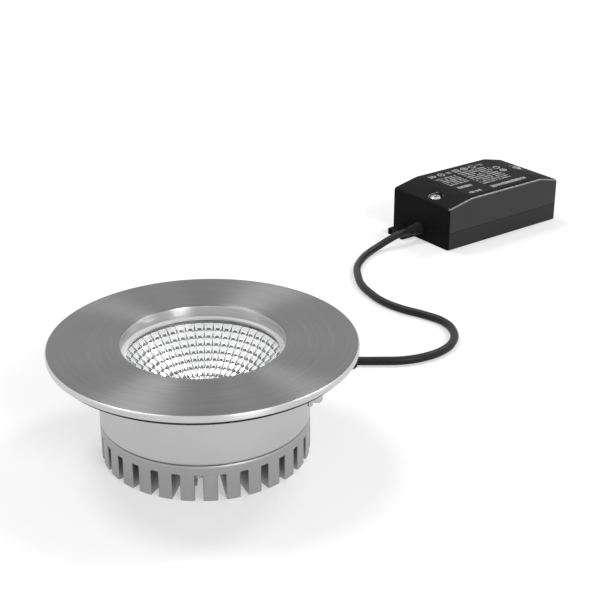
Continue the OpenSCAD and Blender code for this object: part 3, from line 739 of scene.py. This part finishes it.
def make_reflector():
    """The bowl with its flange, and the facets that line it."""
    steps = 24
    levels = [FOOT_Z + (MOUTH_Z - FOOT_Z) * i / steps for i in range(steps + 1)]
    inner = [(bowl_radius(z), z) for z in levels]
    outer = [(x + BOWL_WALL, z) for x, z in reversed(inner[:-3])]  # the flange covers its top
    flange = [(22.35, MOUTH_Z), (22.5, -3.9), (22.5, -4.2), (27.3, -4.2), (27.3, -5), (22.8, -5)]
    bowl = place_of(lathe("reflector_bowl", inner + flange + outer, flange_satin, 156),
                    replaces=["reflector"])
    skin = 0.1  # how far the facets stand off the bowl's wall
    # The bowl's wall between the facets takes painted shade
    finish_faces(bowl, bowl_painted_shade, lambda face: out_from_axis(face) < bowl_radius(face.center.z / MM) + skin)
    # The facets' side walls take the same painted shade
    facets = facet_recipe().make("reflector_facets", {
        "Columns": 48, "Rows": 8, "Foot radius": (FOOT_R + skin) * MM, "Mouth radius": MOUTH_R * MM,
        "Foot height": (FOOT_Z + skin) * MM, "Mouth height": (MOUTH_Z - skin / 2) * MM, "Curve": BOWL_CURVE,
        "Proud": 0.3 * MM, "Foot lift": 0.4 * MM, "Row gap": 0.02, "Column gap": 0.004, "Taper": 0.26,
        "Crown across": 1.4, "Crown along": 1.2, "Notch": 0.28, "Finish": facet_bright,
        "Wall finish": bowl_painted_shade})
    shade(facets, FACET_CREASE)
    place_of(facets)


def make_springs():
    """The wound wire round each clip's pin, which rides on the sprung arm."""
    recipe = spring_recipe()
    sizes = {"Curls": 5.0, "Coil radius": 1.15 * MM, "Length": 4.8 * MM, "Wire radius": 0.25 * MM,
             "Finish": strip_steel}
    stand = Matrix.Translation(Vector((31.6, -2.4, -12)) * MM) @ Matrix.Rotation(-math.pi / 2, 4, "X")
    for side, turn in (("right", 0), ("left", math.pi)):
        spring = recipe.make("wound_spring_" + side, sizes, Matrix.Rotation(turn, 4, "Z") @ stand)
        shade(spring, WIRE_CREASE)
        place_of(spring, "clip_" + side, ["clip_spring_" + side])


make_faceplate()
make_reflector()
eased("lamp_body", "cast_barrel", body_alloy, 0.3)
eased("heat_sink", "finned_sink", sink_alloy, 0.3)
eased("body_screws", "barrel_screws", screw_plate, 0.12)
eased("holder_screws", "light_screws", screw_plate, 0.1)
eased("gland_body", "gland_hexagon", gland_plastic, 0.3)
eased("gland_nut", "gland_dome", gland_plastic, 0.3)
for side in ("right", "left"):
    eased("clip_bracket_" + side, "folded_bracket_" + side, strip_steel, 0.2)
    eased("clip_pin_" + side, "hinge_pin_" + side, strip_steel, 0.15)
    eased("clip_arm_" + side, "sprung_arm_" + side, strip_steel, 0.2, body="clip_" + side)
    eased("clip_pad_" + side, "arm_pad_" + side, pad_rubber, 0.3, body="clip_" + side)
make_springs()


# ---- The lead and the driver ----

def finish_lead():
    lead.data.materials.append(jacket_rubber)
    place_of(lead, replaces=["driver_lead"])


def make_boot():
    """The tapered, ribbed relief at the driver's end of the lead."""
    tip, taper, ribs, hole_z = -5, 4.8, 5, 4.5
    profile = [(1.42, tip)]
    for i in range(ribs):
        y = tip + taper * i / ribs
        wide = 1.75 + 0.8 * i / ribs
        profile += [(wide - 0.12, y), (wide + 0.05, y + 0.12), (wide + 0.1, y + 0.6), (wide - 0.05, y + 0.72),
                    (wide - 0.25, y + 0.8)]
    # The collar outside the shell, its neck in the shell's wall and the flange behind it
    profile += [(2.55, -0.2), (2.55, 0), (2.18, 0), (2.18, 1.62), (2.68, 1.62), (2.68, 2.38), (1.25, 2.38),
                (1.25, -4)]
    lie = DRIVER @ Matrix.Translation(Vector((0, 0, hole_z)) * MM) @ Matrix.Rotation(math.pi / 2, 4, "Y")
    boot = lathe("tapered_boot", profile, jacket_rubber, 48, lie)
    place_of(boot, replaces=["driver_grommet"])


# The lid's flat, the film on it and the ink on the film, in the driver's own frame
FLAT_Z, FILM_T, INK_T = 19.3, 0.1, 0.05
PRINT_Z = FLAT_Z + FILM_T
LABEL_X, LABEL_Y, LABEL_L, LABEL_W = 12.8, -14.5, 36, 29


def prism(outline, z, thick):
    """Corners and faces of an upright prism over an outline that turns left."""
    n = len(outline)
    verts = [Vector((x, y, h)) * MM for h in (z, z + thick) for x, y in outline]
    sides = [(i, (i + 1) % n, n + (i + 1) % n, n + i) for i in range(n)]
    return verts, [tuple(range(n - 1, -1, -1)), tuple(range(n, 2 * n))] + sides


def make_film():
    """The label: a thin film with round corners, laid on the lid's flat."""
    r = 1.0
    left, right, low, high = LABEL_X + r, LABEL_X + LABEL_L - r, LABEL_Y + r, LABEL_Y + LABEL_W - r
    outline = (corner(right, high, r, 0, 90) + corner(left, high, r, 90, 180)
               + corner(left, low, r, 180, 270) + corner(right, low, r, 270, 360))
    verts, faces = prism(outline, FLAT_Z, FILM_T)
    film = mesh_piece("label_plate", [DRIVER @ v for v in verts], faces, label_black)
    place_of(film, replaces=["driver_label"])


def ring_mark(x, y, outer, inner, sides, turn=0.0):
    """Corners and faces of a flat printed ring or frame with that many sides."""
    verts, faces = [], []
    for i in range(sides):
        angle = turn + 2 * math.pi * i / sides
        for radius, z in ((inner, 0), (outer, 0), (outer, INK_T), (inner, INK_T)):
            place = (x + radius * math.cos(angle), y + radius * math.sin(angle), PRINT_Z + z)
            verts.append(Vector(place) * MM)
        for j in range(4):
            k, m = (i + 1) % sides * 4, (j + 1) % 4
            faces.append((i * 4 + j, k + j, k + m, i * 4 + m))
    return verts, faces


def bar_mark(x, y, wide, tall):
    """Corners and faces of a flat printed bar."""
    x0, x1, y0, y1 = x - wide / 2, x + wide / 2, y - tall / 2, y + tall / 2
    return prism([(x0, y0), (x1, y0), (x1, y1), (x0, y1)], PRINT_Z, INK_T)


def make_symbols():
    """A row of plain signs along the back of the label, and two rings at its right."""
    row, rings_x, quarter = 11.2, 45.6, math.pi / 4
    strokes = ((-1.2, 2.6), (-0.3, 2.0), (0.6, 2.6), (1.5, 1.6))
    marks = [bar_mark(16 + dx, row, 0.45, tall) for dx, tall in strokes]
    marks += [
        ring_mark(20.8, row, 1.6, 1.2, 32), bar_mark(20.8, row, 1.3, 0.4),
        bar_mark(25, 11.8, 2.4, 0.4), bar_mark(25, 10.6, 2.4, 0.4),
        ring_mark(29.2, row, 2.2, 1.75, 4, quarter), ring_mark(29.2, row, 1.2, 0.8, 4, quarter),
        ring_mark(33.6, row, 1.6, 1.2, 32), ring_mark(33.6, row, 0.7, 0.15, 24),
        ring_mark(38, row, 1.8, 1.35, 6),
        bar_mark(42.2, 11.8, 2.8, 0.45), bar_mark(42.9, 10.7, 1.4, 0.45),
        ring_mark(rings_x, 4.6, 1.5, 1.05, 32),
        ring_mark(rings_x, 0.6, 1.5, 1.05, 32), ring_mark(rings_x, 0.6, 0.6, 0.12, 24)]
    verts, faces = [], []
    for corners, sides in marks:
        faces += [tuple(i + len(verts) for i in side) for side in sides]
        verts += corners
    signs = mesh_piece("print_signs", [DRIVER @ v for v in verts], faces, ink)
    place_of(signs)


# Name; corner, width and height in millimetres; lines; strokes a line; a stroke's share of its line's
# height; the share of strokes left out; seed
PRINT_BLOCKS = (
    ("print_left", (14.6, -1.5, 10.5, 9.6), 6, 24, 0.62, 0.2, 3),
    ("print_middle", (27, -7.6, 15.8, 16.6), 9, 34, 0.58, 0.18, 8),
    ("print_rating", (15, -6.2, 7.5, 2.6), 1, 9, 0.8, 0.12, 5),
    ("print_bold", (27, -12.8, 19, 2.9), 1, 17, 0.85, 0.1, 12),
    ("print_small", (15, -12.6, 6.2, 2.2), 1, 9, 0.8, 0.1, 21))


def make_print():
    """The label's fine print, which spells nothing."""
    recipe = print_recipe()
    stand = DRIVER @ Matrix.Translation(Vector((0, 0, PRINT_Z + INK_T / 2)) * MM)
    for name, (x, y, wide, high), lines, strokes, tall, gaps, seed in PRINT_BLOCKS:
        sizes = {"Lines": lines, "Strokes": strokes, "Width": wide * MM, "Height": high * MM, "Tall": tall,
                 "Thickness": INK_T * MM, "Gaps": gaps, "Seed": seed, "Finish": ink}
        block = recipe.make(name, sizes, stand @ Matrix.Translation(Vector((x, y, 0)) * MM))
        place_of(block)


def make_case():
    """The two shells: the long sides smooth with a lighter base that paints light on them, the rest eroded,
    and the lid's long edges painted pale as a highlight.
    """
    across = (DRIVER.to_3x3() @ Vector((0, 1, 0))).normalized()
    side, rim, rise = 0.9, 0.25, 0.2

    def sideways(face):
        return abs(face.normal.dot(across))

    tray = eased("driver_base", "case_tray", case_plastic, 0.35)
    # The tray's long sides painted lighter: painted light
    finish_faces(tray, tray_side, lambda face: sideways(face) > side)
    lid = eased("driver_cover", "case_lid", case_plastic, 0.8, 4)
    # The lid's long sides painted lighter: painted light
    finish_faces(lid, lid_side, lambda face: sideways(face) > side)
    # The lid's long edges painted pale: painted highlight
    finish_faces(lid, lid_edge, lambda face: rim < sideways(face) <= side and face.normal.z > rise)


finish_lead()
make_boot()
make_case()
eased("cover_screws", "lid_screws", screw_plate, 0.1)
make_film()
make_symbols()
make_print()

# The CAD nodes whose shape is right as it is
for name, finish in {
        "soffit_gasket": foam_rubber, "front_glass": glass_clear, "glass_seal": seal_rubber,
        "retaining_ring": body_alloy, "led_holder": holder_plastic, "led_board": board_alloy,
        "led_phosphor": gel, "thermal_pad": heat_pad, "gland_seal": pad_rubber, "lamp_wires": core_plastic,
        "circuit_board": laminate, "transformer": winding_tape, "input_capacitor": can_sleeve,
        "output_capacitors": can_sleeve, "output_terminal": block_plastic, "mains_terminal": block_plastic,
        "driver_wires": core_plastic, "mains_clamp": clamp_plastic}.items():
    if not nodes[name].material_slots:
        nodes[name].data.materials.append(finish)
    for given in nodes[name].material_slots:
        given.material = finish


# ---- Stage and light ----

FLOOR_GLOW, ROOM_LIGHT, WHITE = 0.45, 0.42, 1.0


def seen_directly(tree):
    """1 for rays from the camera, off gloss and through glass, and 0 for the rest."""
    path = tree.add("ShaderNodeLightPath")
    rays = tree.math("MAXIMUM", path.outputs["Is Camera Ray"], path.outputs["Is Glossy Ray"])
    return tree.math("MAXIMUM", rays, path.outputs["Is Transmission Ray"])


def make_floor():
    """A pale bench that looks white where no shadow lies on it."""
    f = Finish("pale_floor", Roughness=0.9, Specular_IOR_Level=0.0)
    grit = f.grain(40)
    f.set("Base Color", f.blend(grit, (0.6, 0.6, 0.6), (0.62, 0.62, 0.62)))
    f.set("Emission Color", (1, 1, 1))
    f.set("Emission Strength", f.math("MULTIPLY", seen_directly(f), FLOOR_GLOW))
    level = (BENCH_Z - 0.01) * MM  # a hair under the feet that stand on it
    corners = [(x, y, level) for x, y in ((-4, -4), (4, -4), (4, 4), (-4, 4))]
    floor = mesh_piece("floor", corners, [(0, 1, 2, 3)], f.material)


def make_world():
    """A plain room: white where it is seen, and dimmer as light."""
    world = bpy.data.worlds.new("studio")
    scene.world = world
    world.use_nodes = True
    sky = NodeTree(world.node_tree)
    light = sky.tree.nodes["Background"]
    light.inputs["Color"].default_value = (1, 1, 1, 1)
    level = sky.add("ShaderNodeMapRange", {"Value": seen_directly(sky), "To Min": ROOM_LIGHT,
                                           "To Max": WHITE}).outputs["Result"]
    sky.plug(light.inputs["Strength"], level)


def soft_light(name, azimuth, height, strength, spread):
    """A wide, far light that comes from the azimuth, in degrees from +X, and the height above the bench."""
    data = bpy.data.lights.new(name, "SUN")
    data.energy = strength
    data.angle = math.radians(spread)
    source = show(bpy.data.objects.new(name, data))
    turn, rise = math.radians(azimuth), math.radians(height)
    way = Vector((math.cos(turn) * math.cos(rise), math.sin(turn) * math.cos(rise), math.sin(rise)))
    source.location = way
    source.rotation_euler = way.to_track_quat("Z", "Y").to_euler()


make_floor()
make_world()
soft_light("left_light", 138, 62, 0.9, 20)
soft_light("right_light", 40, 51, 0.7, 16)
soft_light("front_light", -53, 32, 1.1, 22)
scene.view_settings.view_transform = "Standard"
